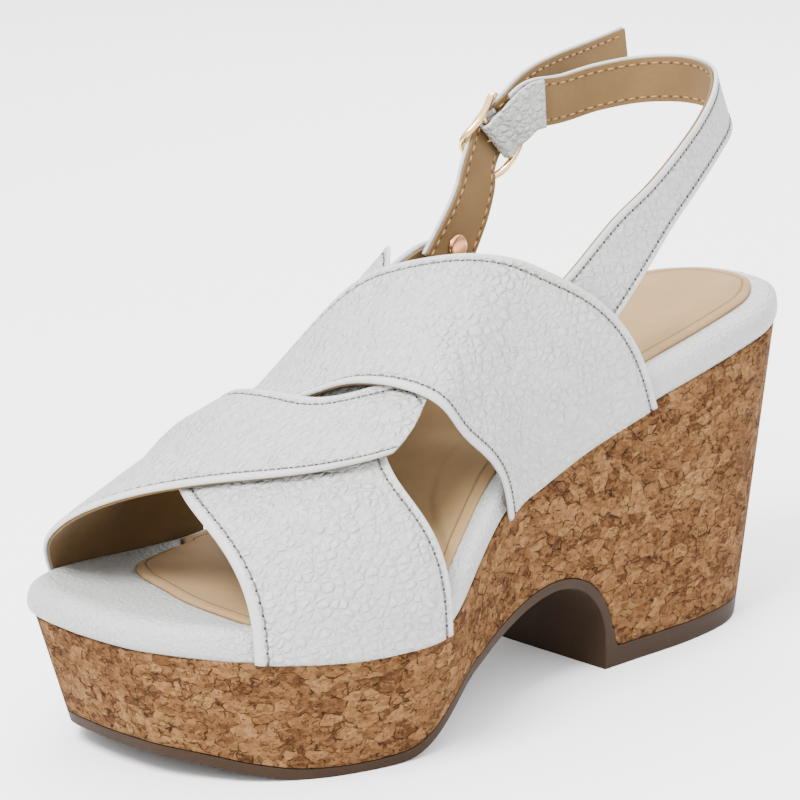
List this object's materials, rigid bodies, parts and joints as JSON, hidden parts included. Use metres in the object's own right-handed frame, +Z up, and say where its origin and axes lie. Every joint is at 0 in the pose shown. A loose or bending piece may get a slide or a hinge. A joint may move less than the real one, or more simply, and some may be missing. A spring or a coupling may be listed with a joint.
{
  "type": "wedge sandal",
  "caption": "Platform sandal with a cork-wrapped wedge, crossed leather bands over the foot and a buckled sling strap behind the heel.",
  "frame": {"origin": "middle of the flat forefoot tread, on the ground, on the shoe's centre line", "axes": "+Z up, +Y from the toe towards the heel, +X towards the inner (medial) side of this right shoe"},
  "size_m": [0.1018, 0.2478, 0.166],
  "materials": {
    "white_leather": "pebbled soft leather, satin",
    "tan_lining": "smooth tan lining leather, matt",
    "sock_suede": "fine nubuck sock, matt",
    "cork": "pressed cork sheet with coarse flakes",
    "core_foam": "light expanded polymer",
    "rubber": "smooth brown rubber, satin",
    "board": "cellulose insole board",
    "foam": "soft open-cell foam",
    "steel": "plain spring steel",
    "pale_gold": "polished pale gold plating",
    "rivet_copper": "satin copper plating"
  },
  "bodies": {
    "sole": {"outsole": "rubber", "wedge_core": "core_foam", "cork_wrap": "cork", "shank": "steel", "shank_rivet_front": "steel", "shank_rivet_rear": "steel", "insole_board": "board", "footbed_cover": "white_leather", "footbed_foam": "foam", "sock_lining": "sock_suede", "under_band_lining": "tan_lining", "under_band": "white_leather", "toe_band_lining": "tan_lining", "toe_band": "white_leather", "cross_band_lining": "tan_lining", "cross_band": "white_leather", "strap_rivet": "rivet_copper", "rivet_cap": "rivet_copper"},
    "sling": {"heel_strap": "white_leather", "heel_strap_lining": "tan_lining", "buckle_tab": "white_leather", "buckle_strap": "white_leather", "buckle_strap_lining": "tan_lining"},
    "buckle": {"buckle_frame": "pale_gold"},
    "prong": {"buckle_prong": "pale_gold"}
  },
  "joints": [
    {"name": "sling_swing", "type": "hinge", "parent": "sole", "child": "sling", "pos_m": [0, 0.097, 0.113], "axis": [1, 0, 0], "range_deg": [-18, 20], "stiffness_Nm_per_rad": 0.15},
    {"name": "buckle_tilt", "type": "hinge", "parent": "sling", "child": "buckle", "pos_m": [-0.0286, 0.115, 0.1415], "axis": [0, 0.6947, -0.7193], "range_deg": [-1, 2]},
    {"name": "prong_lift", "type": "hinge", "parent": "buckle", "child": "prong", "pos_m": [-0.0286, 0.115, 0.1415], "axis": [0, 0.6947, -0.7193], "range_deg": [0, 16]}
  ]
}
